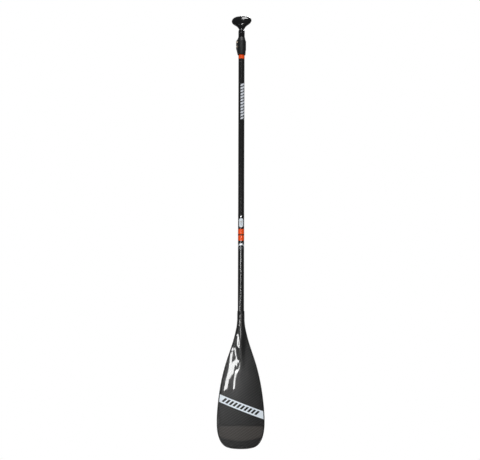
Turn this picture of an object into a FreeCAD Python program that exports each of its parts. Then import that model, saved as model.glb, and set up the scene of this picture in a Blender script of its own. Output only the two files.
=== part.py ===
"""An adjustable single blade paddle, in millimetres.

The shaft's axis is Z, up towards the grip. The origin is on that axis, on the face where the upper
section's tube rests on the lower section, so the blade is below zero and the handle above it.
The blade's back faces -Y, and its tip leans that way.
"""

import FreeCAD, Part
import Sketcher
import math
import os
import re

V = FreeCAD.Vector
doc = FreeCAD.newDocument("paddle")

# Driving dimensions: alias, value in mm (or degrees), what it is.
DIMENSIONS = [
    ("shaft_radius", 13.0, "outside of both shaft tubes at the joint"),
    ("shaft_wall", 1.0, "wall of the shaft tubes"),
    ("upper_length", 785.0, "upper tube, from the joint to its mouth in the clamp"),
    ("lower_reach", 337.0, "from the joint down to the top of the blade's neck"),
    ("straight_length", 75.0, "lower tube before its taper starts"),
    ("neck_growth", 0.5, "how much the lower tube's radius grows by the blade"),
    ("neck_insert", 48.0, "length of the lower tube inside the blade's neck"),
    ("bond_gap", 0.05, "glue line between bonded pieces"),
    ("running_gap", 0.05, "radial clearance of a sliding or turning fit"),
    ("slide_gap", 0.3, "radial clearance of the extension in the upper tube"),
    ("ferrule_up", 112.0, "ferrule above the joint"),
    ("ferrule_down", 90.0, "ferrule below the joint"),
    ("ferrule_wall", 1.2, "wall of the ferrule"),
    ("ring_height", 3.0, "joint ring between the tubes"),
    ("ring_lip", 0.6, "how far the joint ring stands out from the tube"),
    ("plug_length", 15.0, "foam plugs"),
    ("band_height", 22.0, "coloured bands beside the joint"),
    ("band_inset", 1.0, "from the tube's end to its band"),
    ("wrap_thickness", 0.2, "bands and labels, as stuck on the tube"),
    ("top_band_height", 17.0, "coloured band below the clamp"),
    ("label_bottom", 30.0, "label above the joint"),
    ("label_height", 39.0, "label"),
    ("label_width", 17.5, "label, straight across"),
    ("foot_band_top", 36.0, "pale band, below the joint"),
    ("foot_band_height", 26.0, "pale band"),
    ("button_height", 78.0, "snap button above the joint"),
    ("button_radius", 3.4, "snap button"),
    ("button_gap", 0.2, "around the snap button in its holes"),
    ("button_stand", 2.3, "snap button out of the tube"),
    ("button_flange", 1.0, "radial width of the snap button's flange"),
    ("guard_below", 8.0, "thicker stretch of the upper tube, below the snap button's middle"),
    ("guard_above", 11.0, "thicker stretch of the upper tube, above the snap button's middle"),
    ("guard_step", 0.2, "how far the thicker stretch stands out"),
    ("spring_thickness", 0.6, "button spring's strip"),
    ("spring_width", 7.0, "button spring's strip"),
    ("spring_length", 46.0, "button spring's legs"),
    ("extension_wall", 1.0, "wall of the extension tube"),
    ("handle_travel", 400.0, "how far the handle pulls out"),
    ("handle_overlap", 85.0, "extension left in the upper tube when pulled out"),
    ("piston_length", 22.0, "end plug below the extension tube"),
    ("guide_height", 12.0, "guide ring on the end plug"),
    ("guide_float", 0.2, "play of the guide ring in its groove"),
    ("clamp_skirt", 26.0, "length of the upper tube inside the clamp"),
    ("clamp_height", 72.0, "whole clamp"),
    ("clamp_wall", 4.8, "clamp's collar outside the shaft's radius"),
    ("skirt_wall", 3.8, "clamp's foot outside the shaft's radius"),
    ("rim_wall", 1.6, "clamp's top outside the shaft's radius"),
    ("seat_step", 0.25, "depth of the glued seat on the upper tube"),
    ("slit_width", 2.4, "slit in the clamp"),
    ("lug_stand", 10.0, "clamp's lugs outside the shaft's radius"),
    ("lug_depth", 8.0, "each side of the slit's middle"),
    ("screw_radius", 2.0, "clamp screws"),
    ("screw_gap", 0.15, "around the clamp screws in the lugs"),
    ("screw_head_radius", 3.4, "clamp screw heads"),
    ("screw_head_height", 2.2, "clamp screw heads"),
    ("screw_spacing", 19.0, "between the clamp screws"),
    ("screw_low", 31.0, "lower screw above the clamp's foot"),
    ("nut_flats", 7.0, "clamp nuts, across the flats"),
    ("nut_height", 3.0, "clamp nuts"),
    ("lever_low", 20.0, "lever above the clamp's foot"),
    ("lever_height", 36.0, "lever"),
    ("lever_stand", 6.1, "closed lever outside the shaft's radius"),
    ("lever_thickness", 1.8, "lever's arm"),
    ("lever_gap", 0.4, "around the closed lever"),
    ("lever_sweep", 99.0, "angle that the lever's arm wraps"),
    ("pivot_angle", 65.0, "lever's pin, from +X towards +Y"),
    ("pivot_stand", 6.5, "lever's pin outside the shaft's radius"),
    ("pin_radius", 1.5, "lever's pin"),
    ("pin_head_height", 1.2, "head of the lever's pin"),
    ("ear_height", 9.0, "clamp's ears above and below the lever"),
    ("ear_radius", 5.2, "clamp's ears"),
    ("cam_radius", 4.22, "lever's cam"),
    ("cam_offset", 0.9, "cam's centre from the pin"),
    ("cam_lead", 45.0, "cam's high side behind the shoe when closed, an angle"),
    ("shoe_width", 9.0, "shoe that the cam presses"),
    ("shoe_height", 24.0, "shoe that the cam presses"),
    ("shoe_gap", 0.3, "around the shoe in its window"),
    ("stem_wall", 0.5, "grip's sleeve outside the shaft's radius"),
    ("stem_height", 28.0, "grip's sleeve"),
    ("stem_floor", 1.0, "gap between the clamp and the grip's sleeve"),
    ("spigot_length", 55.0, "grip's spigot inside the extension tube"),
    ("grip_width", 85.5, "grip, end to end"),
    ("grip_depth", 36.0, "grip, front to back"),
    ("grip_height", 61.0, "grip above its sleeve"),
    ("cap_height", 10.5, "grip's top cover"),
    ("cap_gap", 0.15, "between the grip and its cover"),
    ("grip_turn", 13.0, "how far the grip is turned from the blade, an angle"),
    ("blade_length", 541.0, "from the top of the neck to the tip"),
    ("blade_width", 198.0, "widest"),
    ("neck_wall", 1.05, "blade's neck around the lower tube"),
    ("collar_above", 13.0, "neck collar above the top of the neck"),
    ("collar_below", 21.5, "neck collar below the top of the neck"),
    ("collar_wall", 1.3, "neck collar"),
    ("neck_seat", 0.3, "depth of the collar's seat on the neck"),
    ("cant", 10.0, "blade's lean, an angle"),
    ("cant_start", 45.0, "from the top of the neck to where the lean starts"),
    ("cant_bend", 60.0, "length over which the lean sets in"),
    ("camber", 6.0, "how far the blade's sides fall back"),
    ("blade_middle", 3.4, "half the blade's thickness in the middle"),
    ("blade_edge", 1.5, "half the blade's thickness at the edge"),
    ("spine_length", 300.0, "from the top of the neck to where the spine ends"),
    ("skin_thickness", 1.1, "blade's skins"),
    ("rail_width", 4.5, "edge rail around the blade"),
]


def make_sheet():
    sheet = doc.addObject("Spreadsheet::Sheet", "dims")
    for row, (alias, value, meaning) in enumerate(DIMENSIONS, start=1):
        sheet.set(f"A{row}", meaning)
        sheet.set(f"B{row}", str(value))
        sheet.setAlias(f"B{row}", alias)
    doc.recompute()
    return sheet


dims = make_sheet()


def linked(formula):
    """The formula with every dimension's name pointing at the sheet."""
    names = "|".join(alias for alias, _, _ in DIMENSIONS)
    tight = re.sub(r"(sqrt|cos|sin) \(", r"\1(", formula)
    return re.sub(rf"\b({names})\b", r"dims.\1", tight)


def size(formula):
    """The formula's value, for the shapes that Part makes directly."""
    found = dims.evalExpression(linked(formula))
    return float(getattr(found, "Value", found))


def bind(thing, **formulas):
    """Ties properties of a document object to the sheet. Double underscores stand for dots."""
    for prop, formula in formulas.items():
        thing.setExpression(prop.replace("__", "."), linked(formula))


def place(thing, x="0", y="0", z="0"):
    bind(thing, Placement__Base__x=x, Placement__Base__y=y, Placement__Base__z=z)
    return thing


def cylinder(radius, height, x="0", y="0", z="0", facing=V(0, 0, 1), sweep="360"):
    thing = doc.addObject("Part::Cylinder", "round")
    thing.Placement.Rotation = FreeCAD.Rotation(V(0, 0, 1), facing)
    bind(thing, Radius=radius, Height=height, Angle=sweep)
    return place(thing, x, y, z)


def box(length, width, height, x, y, z):
    """A box that is centred on x and y, and stands on z."""
    thing = doc.addObject("Part::Box", "block")
    bind(thing, Length=length, Width=width, Height=height)
    return place(thing, f"{x} - ( {length} ) / 2", f"{y} - ( {width} ) / 2", z)


def turn(thing, formula):
    """Turns a thing about the shaft's axis. Its place is turned with it by the caller's formulas."""
    thing.Placement.Rotation = FreeCAD.Rotation(V(0, 0, 1), 1)
    bind(thing, Placement__Rotation__Angle=formula)
    return thing


def cut(base, *tools, label=None):
    result = base
    for tool in tools:
        step = doc.addObject("Part::Cut", "cut")
        step.Base = result
        step.Tool = tool
        result = step
    if label:
        result.Label = label
    return result


def fuse(*things, label=None):
    result = doc.addObject("Part::MultiFuse", "fuse")
    result.Shapes = list(things)
    result.Refine = True
    if label:
        result.Label = label
    return result


def group(label, *things):
    result = doc.addObject("Part::Compound", "group")
    result.Links = list(things)
    result.Label = label
    return result


def sketch_outline(body, plane, corners):
    """A closed outline of straight lines whose corners are bound to the sheet."""
    sketch = body.newObject("Sketcher::SketchObject", "outline")
    planes = [p for p in body.Origin.OriginFeatures if p.Role == plane]
    sketch.AttachmentSupport = (planes[0], [""])
    sketch.MapMode = "FlatFace"
    points = [V(size(x), size(y), 0) for x, y in corners]
    for i, start in enumerate(points):
        sketch.addGeometry(Part.LineSegment(start, points[(i + 1) % len(points)]), False)
    for i in range(len(points)):
        sketch.addConstraint(Sketcher.Constraint("Coincident", i, 2, (i + 1) % len(points), 1))
    for i, corner in enumerate(corners):
        for kind, formula in zip(("DistanceX", "DistanceY"), corner):
            number = sketch.addConstraint(Sketcher.Constraint(kind, -1, 1, i, 1, size(formula)))
            sketch.setExpression(f"Constraints[{number}]", linked(formula))
    return sketch


def turned(label, corners):
    """A piece turned about the shaft's axis from (radius, height) corners."""
    body = doc.addObject("PartDesign::Body", "turned")
    sketch = sketch_outline(body, "XZ_Plane", corners)
    spin = body.newObject("PartDesign::Revolution", "spin")
    spin.Profile = sketch
    spin.ReferenceAxis = (sketch, ["V_Axis"])
    spin.Angle = 360
    sketch.Visibility = False
    body.Label = label
    return body


def tube(label, outer, inner, low, high):
    return turned(label, [(inner, low), (outer, low), (outer, high), (inner, high)])


def slab(label, plane, corners, thickness):
    """A plate of the given outline, its thickness shared to both sides of an origin plane."""
    body = doc.addObject("PartDesign::Body", "slab")
    pad = body.newObject("PartDesign::Pad", "pad")
    pad.Profile = sketch_outline(body, plane, corners)
    pad.Midplane = True
    bind(pad, Length=thickness)
    body.Label = label
    return body


def feature(label, shape):
    thing = doc.addObject("Part::Feature", label)
    thing.Shape = shape
    thing.Label = label
    return thing


# Sizes that follow from the driving ones, as formulas that the sheet works out.
BORE = "( shaft_radius - shaft_wall )"
FERRULE = f"( {BORE} - running_gap )"
FERRULE_BORE = f"( {FERRULE} - ferrule_wall )"
EXTENSION = f"( {BORE} - slide_gap )"
EXTENSION_BORE = f"( {EXTENSION} - extension_wall )"
WRAP = "( shaft_radius + wrap_thickness )"
BUTTON_HOLE = "( button_radius + button_gap )"
CLAMP_FOOT = "( upper_length - clamp_skirt )"
CLAMP_TOP = f"( {CLAMP_FOOT} + clamp_height )"
LEVER_FOOT = f"( {CLAMP_FOOT} + lever_low )"
LEVER_TOP = f"( {LEVER_FOOT} + lever_height )"
STEM_FOOT = f"( {CLAMP_TOP} + stem_floor )"
STEM_TOP = f"( {STEM_FOOT} + stem_height )"
EXTENSION_TOP = f"( {STEM_TOP} - 2 )"
EXTENSION_FOOT = "( upper_length - handle_overlap - handle_travel )"
NECK = "( shaft_radius + neck_growth + bond_gap + neck_wall )"
NECK_TOP = "( 0 - lower_reach )"
TUBE_FOOT = "( 0 - lower_reach - neck_insert )"
CLAMP_OUTSIDE = "( shaft_radius + clamp_wall )"
SKIRT_OUTSIDE = "( shaft_radius + skirt_wall )"
CLAMP_RIM = "( shaft_radius + rim_wall )"
LUG_REACH = "( shaft_radius + lug_stand )"
LEVER_OUTSIDE = "( shaft_radius + lever_stand )"
PIVOT_REACH = "( shaft_radius + pivot_stand )"
STEM_OUTSIDE = "( shaft_radius + stem_wall )"
PIVOT_X = f"( {PIVOT_REACH} * cos ( pivot_angle ) )"
PIVOT_Y = f"( {PIVOT_REACH} * sin ( pivot_angle ) )"
FRONT = V(0, -1, 0)
BACK = V(0, 1, 0)


def make_upper_section():
    """The upper tube, thicker around its button hole, with its seat for the clamp."""
    seat = "( shaft_radius - seat_step )"
    guard = "( shaft_radius + guard_step )"
    blank = turned("upper_blank", [
        (BORE, "0"),
        ("shaft_radius", "0"),
        ("shaft_radius", "button_height - guard_below"),
        (guard, "button_height - guard_below"),
        (guard, "button_height + guard_above"),
        ("shaft_radius", "button_height + guard_above"),
        ("shaft_radius", f"{CLAMP_FOOT} - 1"),
        (seat, f"{CLAMP_FOOT} - 1"),
        (seat, "upper_length"),
        (BORE, "upper_length"),
    ])
    hole = cylinder(BUTTON_HOLE, "shaft_radius * 2", z="button_height", facing=FRONT)
    cut(blank, hole, label="upper_shaft")
    tube("band_upper", WRAP, "shaft_radius", "band_inset", "band_inset + band_height")
    band_top = f"( {CLAMP_FOOT} - 1.2 )"
    tube("band_top", WRAP, "shaft_radius", f"{band_top} - top_band_height", band_top)
    make_label()


def make_label():
    """A label with round ends, wrapped around the front of the tube."""
    sleeve = tube("label_sleeve", WRAP, "shaft_radius", "0", "label_bottom + label_height + 5")
    half = "label_width / 2"
    low = "label_bottom + label_width / 2"
    high = "label_bottom + label_height - label_width / 2"
    ends = [cylinder(half, "shaft_radius * 2", z=z, facing=FRONT) for z in (low, high)]
    straight = "( label_height - label_width )"
    middle = box("label_width", "shaft_radius * 2", straight, "0", "0 - shaft_radius", low)
    stencil = fuse(*ends, middle)
    label = doc.addObject("Part::Common", "common")
    label.Base = sleeve
    label.Tool = stencil
    label.Label = "joint_label"


def make_joint():
    """The ferrule that joins the tubes, its ring, its plug and its spring button."""
    ferrule = tube("ferrule_blank", FERRULE, FERRULE_BORE, "0 - ferrule_down", "ferrule_up")
    hole = cylinder(BUTTON_HOLE, "shaft_radius * 2", z="button_height", facing=FRONT)
    cut(ferrule, hole, label="ferrule")
    tube("joint_ring", "shaft_radius + ring_lip", f"{FERRULE} + bond_gap", "0 - ring_height", "0")
    plug = f"{FERRULE_BORE} - bond_gap"
    turned("ferrule_plug", [
        ("0", "ferrule_up - plug_length"),
        (plug, "ferrule_up - plug_length"),
        (plug, "ferrule_up"),
        ("0", "ferrule_up"),
    ])
    make_button()


def make_button():
    flange = "( button_radius + button_flange )"
    room = f"( sqrt ( {FERRULE_BORE} * {FERRULE_BORE} - {flange} * {flange} ) - 0.2 )"
    inner = f"( {room} - 1 )"
    disc = cylinder(flange, "1", y=f"0 - {inner}", z="button_height", facing=FRONT)
    rod_length = f"shaft_radius + button_stand + 1 - {inner}"
    rod = cylinder("button_radius", rod_length, y=f"0 - {inner}", z="button_height", facing=FRONT)
    dome = doc.addObject("Part::Sphere", "dome")
    bind(dome, Radius="shaft_radius + button_stand")
    place(dome, z="button_height")
    domed = doc.addObject("Part::Common", "common")
    domed.Base = rod
    domed.Tool = dome
    fuse(disc, domed, label="snap_button")

    leg_front = f"( {inner} - 0.1 )"
    leg_back = f"( sqrt ( {FERRULE_BORE} * {FERRULE_BORE} - spring_width * spring_width / 4 ) - 0.1 )"
    bend = f"( ( {leg_front} + {leg_back} ) / 2 )"
    middle = f"( ( {leg_back} - {leg_front} ) / 2 )"
    low = "( button_height + button_radius - spring_length )"
    outer = cylinder(bend, "spring_width", x="0 - spring_width / 2", y=middle, z=low, facing=V(1, 0, 0))
    inner_bend = f"{bend} - spring_thickness"
    bore = cylinder(inner_bend, "spring_width", x="0 - spring_width / 2", y=middle, z=low, facing=V(1, 0, 0))
    above = box("spring_width * 2", f"{bend} * 3", f"{bend} * 2", "0", middle, low)
    loop = cut(outer, bore, above)
    legs = [
        box("spring_width", "spring_thickness", "spring_length", "0", y, low)
        for y in (f"( spring_thickness / 2 - {leg_front} )", f"( {leg_back} - spring_thickness / 2 )")
    ]
    fuse(loop, *legs, label="button_spring")


def make_lower_section():
    outer = "( shaft_radius + neck_growth )"
    turned("lower_shaft", [
        (BORE, TUBE_FOOT),
        (outer, TUBE_FOOT),
        (outer, NECK_TOP),
        ("shaft_radius", "0 - straight_length"),
        ("shaft_radius", "0 - ring_height"),
        (BORE, "0 - ring_height"),
    ])
    low = "( 0 - ring_height - band_inset )"
    tube("band_lower", WRAP, "shaft_radius", f"{low} - band_height", low)
    tube("foot_band", WRAP, "shaft_radius", "0 - foot_band_top - foot_band_height", "0 - foot_band_top")
    plug = f"{BORE} - bond_gap"
    turned("float_plug", [
        ("0", f"{TUBE_FOOT} + 2"),
        (plug, f"{TUBE_FOOT} + 2"),
        (plug, f"{TUBE_FOOT} + 2 + plug_length"),
        ("0", f"{TUBE_FOOT} + 2 + plug_length"),
    ])
    make_neck_collar()


def make_neck_collar():
    """A tapered collar over the top of the blade's neck."""
    top = "( collar_above - lower_reach )"
    foot = "( 0 - lower_reach - collar_below )"
    over_neck = f"( {NECK} - neck_seat + bond_gap )"
    over_shaft = "( shaft_radius + neck_growth + bond_gap )"
    turned("neck_collar", [
        (over_neck, foot),
        (f"{over_neck} + collar_wall - 0.6", foot),
        (f"{over_neck} + collar_wall", f"{foot} + 4"),
        (f"{over_neck} + collar_wall - 0.6", top),
        (over_shaft, top),
        (over_shaft, f"{NECK_TOP} + 0.5"),
        (over_neck, f"{NECK_TOP} + 0.5"),
    ])


def make_extension():
    """The telescoping tube, its end plug and the guide ring that runs in the upper tube."""
    tube("extension_tube", EXTENSION, EXTENSION_BORE, EXTENSION_FOOT, EXTENSION_TOP)
    rim = f"( {EXTENSION} - 0.1 )"
    floor = f"( {EXTENSION_BORE} - 0.6 )"
    low = f"( {EXTENSION_FOOT} - bond_gap - piston_length )"
    groove_low = f"( {low} + ( piston_length - guide_height ) / 2 - guide_float )"
    groove_high = f"( {low} + ( piston_length + guide_height ) / 2 + guide_float )"
    spigot = f"( {EXTENSION_BORE} - bond_gap )"
    turned("extension_plug", [
        ("0", low),
        (rim, low),
        (rim, groove_low),
        (floor, groove_low),
        (floor, groove_high),
        (rim, groove_high),
        (rim, f"{EXTENSION_FOOT} - bond_gap"),
        (spigot, f"{EXTENSION_FOOT} - bond_gap"),
        (spigot, f"{EXTENSION_FOOT} + plug_length"),
        ("0", f"{EXTENSION_FOOT} + plug_length"),
    ])
    ring_bore = f"( {floor} + 0.1 )"
    ring_low = f"{groove_low} + guide_float"
    ring_high = f"{groove_high} - guide_float"
    ring = tube("ring_blank", f"{BORE} - running_gap", ring_bore, ring_low, ring_high)
    slit = box("shaft_radius", "1.2", "guide_height * 2", "shaft_radius", "0", groove_low)
    cut(ring, slit, label="guide_ring")


def make_clamp():
    """The nylon clamp: a glued skirt, a slit collar with two screws, and a lever with a cam and shoe."""
    seat = "( shaft_radius - seat_step + bond_gap )"
    blank = turned("clamp_blank", [
        (seat, CLAMP_FOOT),
        (SKIRT_OUTSIDE, CLAMP_FOOT),
        (f"{SKIRT_OUTSIDE} + 0.3", f"{CLAMP_FOOT} + 6"),
        (CLAMP_OUTSIDE, f"{CLAMP_FOOT} + 18"),
        (CLAMP_OUTSIDE, "upper_length - 2"),
        (f"{CLAMP_OUTSIDE} - 0.6", "upper_length - 1.6"),
        (f"{CLAMP_OUTSIDE} - 0.6", "upper_length - 0.8"),
        (CLAMP_OUTSIDE, "upper_length - 0.4"),
        (CLAMP_OUTSIDE, f"{CLAMP_TOP} - 15"),
        (f"{CLAMP_RIM} + 1.4", f"{CLAMP_TOP} - 7"),
        (CLAMP_RIM, CLAMP_TOP),
        (BORE, CLAMP_TOP),
        (BORE, "upper_length"),
        (seat, "upper_length"),
    ])
    lug = slab("lug", "XZ_Plane", [
        ("0 - shaft_radius - 1", f"{CLAMP_FOOT} + 4"),
        (f"0 - {SKIRT_OUTSIDE} - 0.8", f"{CLAMP_FOOT} + 6"),
        (f"0.2 - {LUG_REACH}", "upper_length + 1"),
        (f"0 - {LUG_REACH}", f"{CLAMP_TOP} - 19"),
        (f"1.4 - {LUG_REACH}", f"{CLAMP_TOP} - 15"),
        (f"0 - {CLAMP_RIM} - 0.8", f"{CLAMP_TOP} - 6.5"),
        ("0 - shaft_radius", f"{CLAMP_TOP} - 6.5"),
    ], "lug_depth * 2")
    ears = [
        cylinder("ear_radius", "ear_height", x=PIVOT_X, y=PIVOT_Y, z=z)
        for z in (f"{LEVER_FOOT} - lever_gap - ear_height", f"{LEVER_TOP} + lever_gap")
    ]
    recess_height = "lever_height + 2 * lever_gap"
    recess_foot = f"( {LEVER_FOOT} - lever_gap )"
    recess_sweep = "( lever_sweep + 16 )"
    recess_start = "( pivot_angle - lever_sweep - 4 )"
    blank_reach = f"{LUG_REACH} * 2"
    around = turn(cylinder(blank_reach, recess_height, z=recess_foot, sweep=recess_sweep), recess_start)
    floor = f"{LEVER_OUTSIDE} - lever_thickness - lever_gap"
    core = cylinder(floor, recess_height, z=recess_foot)
    recess = cut(around, core)
    cam_reach = "cam_radius + cam_offset + lever_gap"
    cam_room = cylinder(cam_reach, recess_height, x=PIVOT_X, y=PIVOT_Y, z=recess_foot)
    slit_middle = f"( 1 - {BORE} - {LUG_REACH} / 2 )"
    slit = box(LUG_REACH, "slit_width", "clamp_height", slit_middle, "0", "upper_length")
    tools = [recess, cam_room, slit, make_shoe_block("shoe_gap", f"{BORE} - 2")]
    through = "screw_radius + screw_gap"
    for z in screw_heights():
        start = "0 - lug_depth * 1.5"
        tools.append(cylinder(through, "lug_depth * 3", x=screw_x(), y=start, z=z, facing=BACK))
        tools.append(nut_blank(z, "0.1", "nut_height + 1"))
    tools.append(cylinder("pin_radius", "clamp_height * 2", x=PIVOT_X, y=PIVOT_Y, z=f"{CLAMP_FOOT} - 5"))
    bore = cylinder(BORE, "clamp_height", z="upper_length")
    skirt_bore = cylinder(seat, "clamp_skirt", z=CLAMP_FOOT)
    cut(fuse(blank, lug, *ears), bore, skirt_bore, *tools, label="clamp_collar")


def screw_heights():
    low = f"( {CLAMP_FOOT} + screw_low )"
    return [low, f"{low} + screw_spacing"]


def screw_x():
    return f"( 0 - {LUG_REACH} + screw_head_radius + 0.3 )"


def nut_blank(z, growth, height):
    nut = doc.addObject("Part::Prism", "nut")
    nut.Polygon = 6
    nut.Placement.Rotation = FreeCAD.Rotation(V(0, 0, 1), BACK)
    bind(nut, Circumradius=f"( nut_flats / 2 + {growth} ) / cos ( 30 )", Height=height)
    return place(nut, screw_x(), "lug_depth - nut_height", z)


def make_screws():
    screws = []
    nuts = []
    for z in screw_heights():
        head_face = "( 0 - lug_depth - screw_head_height )"
        head = cylinder("screw_head_radius", "screw_head_height", x=screw_x(), y=head_face, z=z, facing=BACK)
        length = "screw_head_height + lug_depth * 2 - 0.5"
        shank = cylinder("screw_radius", length, x=screw_x(), y=head_face, z=z, facing=BACK)
        socket = doc.addObject("Part::Prism", "socket")
        socket.Polygon = 6
        socket.Placement.Rotation = FreeCAD.Rotation(V(0, 0, 1), BACK)
        bind(socket, Circumradius="screw_radius * 0.75", Height="screw_head_height")
        place(socket, screw_x(), f"{head_face} - 0.8", z)
        screws.append(cut(fuse(head, shank), socket))
        bore = cylinder("screw_radius + bond_gap", "lug_depth * 2", x=screw_x(), z=z, facing=BACK)
        nuts.append(cut(nut_blank(z, "0", "nut_height"), bore))
    group("clamp_screws", *screws)
    group("clamp_nuts", *nuts)


def make_shoe_block(growth, inner):
    """A block that reaches from an inner distance out towards the lever's pin."""
    length = f"( {shoe_face()} + {growth} * 4 - ( {inner} ) )"
    middle = f"( ( {inner} ) + {length} / 2 )"
    width = f"( shoe_width + 2 * {growth} )"
    block = doc.addObject("Part::Box", "block")
    bind(block, Length=length, Width=width, Height=f"shoe_height + 2 * {growth}")
    turn(block, "pivot_angle")
    along = f"( {middle} - {length} / 2 )"
    x = f"{along} * cos ( pivot_angle ) + {width} / 2 * sin ( pivot_angle )"
    y = f"{along} * sin ( pivot_angle ) - {width} / 2 * cos ( pivot_angle )"
    return place(block, x, y, f"{LEVER_FOOT} + ( lever_height - shoe_height ) / 2 - {growth}")


def shoe_face():
    """Distance of the shoe's back from the shaft's axis, just clear of the closed cam."""
    return f"( {PIVOT_REACH} - cam_radius - cam_offset * cos ( cam_lead ) - 0.03 )"


def make_lever():
    sweep = "lever_sweep"
    start = "( pivot_angle - lever_sweep )"
    around = turn(cylinder(LEVER_OUTSIDE, "lever_height", z=LEVER_FOOT, sweep=sweep), start)
    inside = cylinder(f"{LEVER_OUTSIDE} - lever_thickness", "lever_height", z=LEVER_FOOT)
    arm = cut(around, inside)
    lead = "( pivot_angle + 180 + cam_lead )"
    cam_x = f"{PIVOT_X} + cam_offset * cos ( {lead} )"
    cam_y = f"{PIVOT_Y} + cam_offset * sin ( {lead} )"
    cam = cylinder("cam_radius", "lever_height", x=cam_x, y=cam_y, z=LEVER_FOOT)
    tip_radius = "( lever_thickness / 2 + 0.3 )"
    tip_reach = f"( {LEVER_OUTSIDE} - lever_thickness / 2 + 0.3 )"
    tip_x = f"{tip_reach} * cos ( {start} )"
    tip_y = f"{tip_reach} * sin ( {start} )"
    tip = cylinder(tip_radius, "lever_height", x=tip_x, y=tip_y, z=LEVER_FOOT)
    eye = "pin_radius + running_gap"
    hole = cylinder(eye, "lever_height * 2", x=PIVOT_X, y=PIVOT_Y, z=f"{LEVER_FOOT} - 5")
    cut(fuse(arm, cam, tip), hole, label="clamp_lever")
    ears_foot = f"( {LEVER_FOOT} - lever_gap - ear_height )"
    ears_height = "( lever_height + 2 * lever_gap + 2 * ear_height )"
    pin = cylinder("pin_radius", ears_height, x=PIVOT_X, y=PIVOT_Y, z=ears_foot)
    ears_top = f"( {ears_foot} + {ears_height} )"
    head = cylinder("pin_radius * 1.7", "pin_head_height", x=PIVOT_X, y=PIVOT_Y, z=ears_top)
    fuse(pin, head, label="lever_pin")
    pressed = cylinder(f"{EXTENSION} + running_gap", "clamp_height", z="upper_length")
    cut(make_shoe_block("0", f"{BORE} - 2"), pressed, label="clamp_shoe")


# Plan of the grip: share of its height above the sleeve, share of its half width and of its half depth.
# Its foot is as wide as the sleeve.
GRIP_LEVELS = [
    (0.00, 0.000, 0.000),
    (0.08, 0.255, 0.600),
    (0.17, 0.320, 0.630),
    (0.29, 0.450, 0.700),
    (0.40, 0.675, 0.810),
    (0.50, 0.870, 0.910),
    (0.60, 0.970, 0.965),
    (0.70, 1.000, 0.990),
    (0.78, 0.970, 0.960),
    (0.86, 0.890, 0.875),
    (0.94, 0.730, 0.710),
    (0.98, 0.540, 0.520),
    (1.00, 0.330, 0.310),
]


def make_grip():
    """The palm grip, lofted through ellipses, on a sleeve with a spigot inside the extension tube."""
    foot = size(STEM_TOP)
    rise = size("grip_height")
    ends = size("grip_width") / 2
    depth = size("grip_depth") / 2
    wires = []
    stem = size(STEM_OUTSIDE)
    for level, across, deep in GRIP_LEVELS:
        wide, narrow = (ends * across, depth * deep) if level else (stem - 0.16, stem - 0.18)
        ring = Part.Ellipse(V(0, 0, foot + level * rise), wide, narrow)
        wires.append(Part.Wire([ring.toShape()]))
    whole = Part.makeLoft(wires, True, False)
    split = foot + rise - size("cap_height")
    big = ends * 4
    above = Part.makeBox(big, big, big, V(-big / 2, -big / 2, split))
    below = Part.makeBox(big, big, big, V(-big / 2, -big / 2, split - size("cap_gap") - big))
    turned_by = FreeCAD.Rotation(V(0, 0, 1), -size("grip_turn"))
    cap = feature("grip_cap", whole.common(above))
    head = feature("grip_head", whole.common(below))
    for thing in (cap, head):
        thing.Placement = FreeCAD.Placement(V(), turned_by)
    inner = f"( {EXTENSION_BORE} - bond_gap )"
    outer = f"( {EXTENSION} + bond_gap )"
    stem = turned("grip_stem", [
        ("0", f"{EXTENSION_TOP} - spigot_length"),
        (inner, f"{EXTENSION_TOP} - spigot_length"),
        (inner, f"{EXTENSION_TOP} + bond_gap"),
        (outer, f"{EXTENSION_TOP} + bond_gap"),
        (outer, STEM_FOOT),
        (STEM_OUTSIDE, STEM_FOOT),
        (STEM_OUTSIDE, STEM_TOP),
        ("0", STEM_TOP),
    ])
    fuse(stem, head, label="grip_body")


# Outline of the blade, down to its widest: share of its length, share of the way from the neck's radius
# to half its width. Then on to its tip: share of its length, share of half its width.
FLARE = [(0.083, 0.022), (0.199, 0.198), (0.349, 0.519), (0.497, 0.777), (0.643, 0.930), (0.797, 1.000)]
TIP = [(0.898, 0.947), (0.958, 0.795), (0.981, 0.655), (0.995, 0.420), (1.000, 0.000)]


def flare_widths():
    """The blade's half widths down to its widest, with the share of its length at each."""
    neck = size(NECK)
    half = size("blade_width") / 2
    return [(along, neck + (half - neck) * share) for along, share in FLARE]


def blade_line(drop):
    """Where the blade's middle is in Y, at a distance below the top of the neck."""
    past = drop - size("cant_start")
    bend = size("cant_bend")
    slope = math.tan(math.radians(size("cant")))
    if past <= 0:
        return 0.0
    if past < bend:
        return -slope * past * past / (2 * bend)
    return -slope * (past - bend / 2)


def eased(value, low, high):
    """0 below low, 1 above high and smooth between them."""
    share = min(max((value - low) / (high - low), 0.0), 1.0)
    return share * share * (3 - 2 * share)


def outline_points(side, inset=0.0):
    """Points of one side of the outline, from the neck to the tip, moved in by the inset."""
    half = size("blade_width") / 2
    length = size("blade_length")
    top = -size("lower_reach")
    points = []
    for along, width in flare_widths() + [(along, half * share) for along, share in TIP]:
        raised = inset * eased(along, 0.8, 1.0)
        points.append((max(width - inset, 0.0), top - along * length + raised))
    return [V(side * x, 0, z) for x, z in points]


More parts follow.
